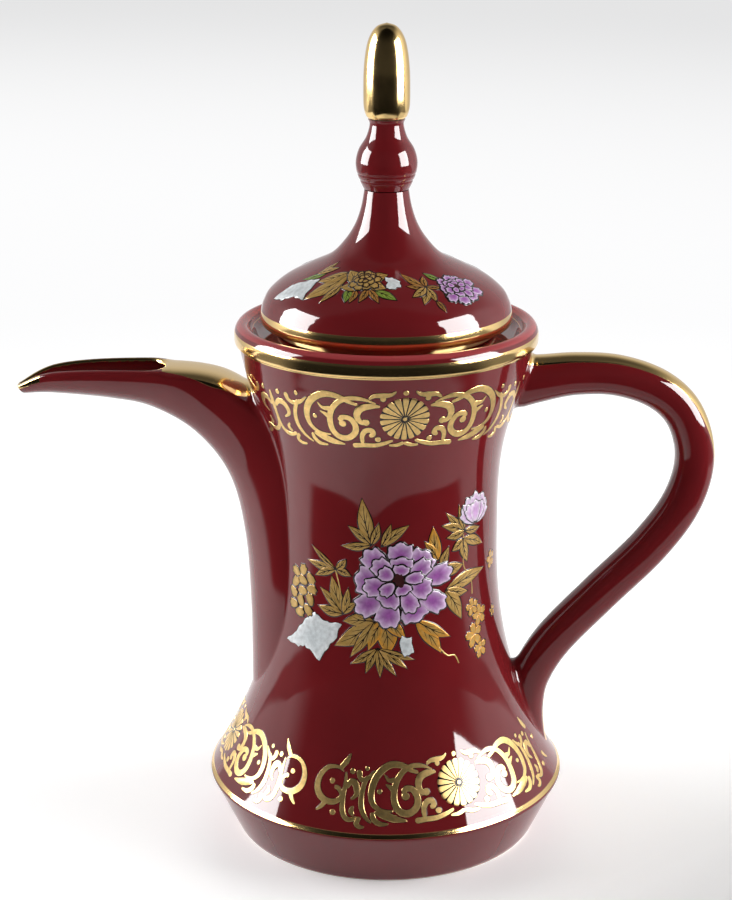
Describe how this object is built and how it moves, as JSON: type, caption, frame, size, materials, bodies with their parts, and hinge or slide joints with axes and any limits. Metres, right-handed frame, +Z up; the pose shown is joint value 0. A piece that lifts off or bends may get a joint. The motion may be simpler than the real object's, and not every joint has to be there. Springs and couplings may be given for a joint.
{
  "type": "porcelain coffee pot",
  "caption": "Tall waisted porcelain pot with a beak spout, an ear handle and a lift-off lid under a gilded finial, glazed maroon with gold ornament.",
  "frame": {"origin": "on the table under the middle of the pot's length, spout tip to handle; the pot's own axis stands 6.35 mm towards +X", "axes": "+Z up, the spout points along -X, the handle along +X, +/-Y are the pot's painted sides"},
  "size_m": [0.2285, 0.1204, 0.27],
  "materials": {
    "glaze": "glossy maroon glaze with gold line and scroll ornament",
    "gilding": "burnished gold film over glazed porcelain"
  },
  "bodies": {
    "pot": {"body": "glaze", "spout": "glaze", "handle": "glaze"},
    "lid": {"lid": "glaze", "finial": "glaze", "finial_tip": "gilding"}
  },
  "joints": [
    {"name": "lid_lift", "type": "slide", "parent": "pot", "child": "lid", "axis": [0, 0, 1], "range_m": [0, 0.06]}
  ]
}
